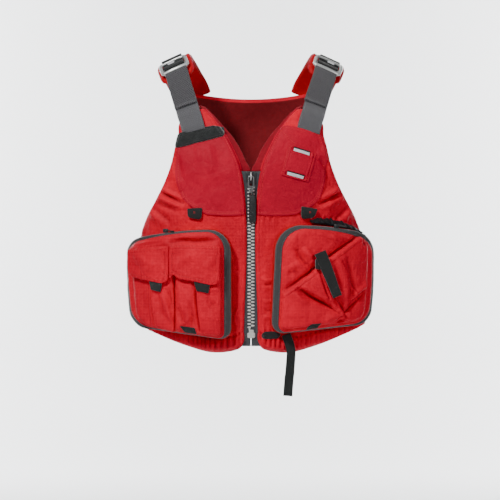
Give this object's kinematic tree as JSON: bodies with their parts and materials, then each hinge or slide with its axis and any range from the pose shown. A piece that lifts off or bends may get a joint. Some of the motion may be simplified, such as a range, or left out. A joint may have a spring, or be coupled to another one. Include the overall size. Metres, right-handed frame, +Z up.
{
  "type": "life jacket",
  "caption": "Front-zip paddling life jacket with foam panels, opening front halves, hinged pockets, shoulder ladder buckles and a hanging waist strap.",
  "frame": {"origin": "middle of the torso opening at the height of the front hem", "axes": "+Z up the wearer's torso, -Y out of the front, +X towards the wearer's left"},
  "size_m": [0.3892, 0.3076, 0.5606],
  "materials": {
    "cover_red": "ripstop nylon, bright red",
    "yoke_red": "plain nylon, dark red",
    "facing_rose": "brushed nylon, dull rose",
    "liner_red": "plain nylon lining",
    "foam_white": "closed-cell foam",
    "mesh_black": "open mesh",
    "webbing_grey": "woven webbing",
    "webbing_black": "woven webbing",
    "trim_black": "moulded, satin",
    "zip_tape_grey": "woven zip tape",
    "zip_silver": "bright, moulded or plated",
    "buckle_silver": "satin silver"
  },
  "bodies": {
    "back": {"back_foam": "foam_white", "back_cover": "cover_red", "back_liner": "liner_red", "back_mesh": "mesh_black", "shoulder_pad_right": "cover_red", "shoulder_pad_left": "cover_red", "side_panel_right": "mesh_black", "side_panel_left": "mesh_black", "side_straps": "webbing_black", "buckle_loops": "webbing_black"},
    "front_right": {"front_foam_right": "foam_white", "front_cover_right": "cover_red", "front_liner_right": "liner_red", "chest_yoke_right": "yoke_red", "neck_facing_right": "facing_rose", "zip_tape_right": "zip_tape_grey", "zip_teeth_right": "zip_silver", "zip_pin": "zip_silver", "shoulder_strap_right": "webbing_grey", "pocket_base_right": "cover_red", "lash_tab_right": "webbing_black", "loop_strip": "webbing_black", "side_buckles_right": "trim_black"},
    "front_left": {"front_foam_left": "foam_white", "front_cover_left": "cover_red", "front_liner_left": "liner_red", "chest_yoke_left": "yoke_red", "neck_facing_left": "facing_rose", "zip_tape_left": "zip_tape_grey", "zip_teeth_left": "zip_silver", "zip_box": "zip_silver", "shoulder_strap_left": "webbing_grey", "pocket_base_left": "cover_red", "lash_tab_left": "webbing_black", "lash_plate": "yoke_red", "side_buckles_left": "trim_black", "waist_strap": "webbing_black", "strap_keeper": "webbing_black"},
    "zip_slider": {"zip_slider": "zip_silver"},
    "zip_puller": {"zip_puller": "zip_silver"},
    "pull_tab": {"pull_tab": "trim_black"},
    "shoulder_buckle_right": {"shoulder_buckle_right": "buckle_silver"},
    "shoulder_buckle_left": {"shoulder_buckle_left": "buckle_silver"},
    "pocket_door_right": {"pocket_door_right": "cover_red", "pocket_zip_right": "zip_tape_grey", "cargo_pouches": "cover_red", "pocket_tab_right": "webbing_black"},
    "flap_outer": {"flap_outer": "cover_red", "flap_tab_outer": "webbing_black"},
    "flap_inner": {"flap_inner": "cover_red", "flap_tab_inner": "webbing_black"},
    "pocket_slider_right": {"pocket_slider_right": "trim_black"},
    "pocket_door_left": {"pocket_door_left": "cover_red", "pocket_zip_left": "zip_tape_grey", "tool_pouch": "cover_red", "pocket_tab_left": "webbing_black"},
    "tool_strap": {"tool_strap": "webbing_black"},
    "pocket_slider_left": {"pocket_slider_left": "trim_black"}
  },
  "joints": [
    {"name": "front_left_open", "type": "hinge", "parent": "back", "child": "front_left", "pos_m": [0.186, 0.005, 0.03], "axis": [-0.0811, -0.0715, 0.9941], "range_deg": [0, 45]},
    {"name": "front_right_open", "type": "hinge", "parent": "back", "child": "front_right", "pos_m": [-0.186, 0.005, 0.03], "axis": [-0.0811, 0.0715, -0.9941], "range_deg": [0, 45]},
    {"name": "zip_slide", "type": "slide", "parent": "front_left", "child": "zip_slider", "axis": [0, 0, -1], "range_m": [0, 0.232]},
    {"name": "zip_puller_swing", "type": "hinge", "parent": "zip_slider", "child": "zip_puller", "pos_m": [0, -0.1424, 0.274], "axis": [-1, 0, 0], "range_deg": [0, 115]},
    {"name": "pull_tab_swing", "type": "hinge", "parent": "zip_puller", "child": "pull_tab", "pos_m": [0, -0.1424, 0.248], "axis": [-1, 0, 0], "range_deg": [0, 60]},
    {"name": "shoulder_buckle_left_tilt", "type": "hinge", "parent": "front_left", "child": "shoulder_buckle_left", "pos_m": [0.1295, -0.01991, 0.46777], "axis": [-0.9098, -0.05, 0.4119], "range_deg": [0, 35]},
    {"name": "shoulder_buckle_right_tilt", "type": "hinge", "parent": "front_right", "child": "shoulder_buckle_right", "pos_m": [-0.1295, -0.01991, 0.46777], "axis": [-0.9098, 0.05, -0.4119], "range_deg": [0, 35]},
    {"name": "pocket_door_right_open", "type": "hinge", "parent": "front_right", "child": "pocket_door_right", "pos_m": [-0.10594, -0.14312, 0.017], "axis": [0.943, -0.3329, 0], "range_deg": [0, 75]},
    {"name": "pocket_slider_right_slide", "type": "slide", "parent": "front_right", "child": "pocket_slider_right", "axis": [0.9143, -0.3798, 0.1404], "range_m": [0, 0.048]},
    {"name": "pocket_door_left_open", "type": "hinge", "parent": "front_left", "child": "pocket_door_left", "pos_m": [0.10817, -0.14232, 0.026], "axis": [0.9388, 0.3446, 0], "range_deg": [0, 75]},
    {"name": "pocket_slider_left_slide", "type": "slide", "parent": "front_left", "child": "pocket_slider_left", "axis": [-0.9116, -0.3787, 0.16], "range_m": [0, 0.048]},
    {"name": "flap_outer_lift", "type": "hinge", "parent": "pocket_door_right", "child": "flap_outer", "pos_m": [-0.16707, -0.13799, 0.15995], "axis": [-0.7732, 0.6276, -0.091], "range_deg": [0, 110]},
    {"name": "flap_inner_lift", "type": "hinge", "parent": "pocket_door_right", "child": "flap_inner", "pos_m": [-0.08878, -0.17386, 0.16345], "axis": [-0.9698, 0.244, 0.006], "range_deg": [0, 110]},
    {"name": "tool_strap_lift", "type": "hinge", "parent": "pocket_door_left", "child": "tool_strap", "pos_m": [0.11, -0.16878, 0.156], "axis": [-0.8821, -0.2946, -0.3675], "range_deg": [0, 90]}
  ]
}
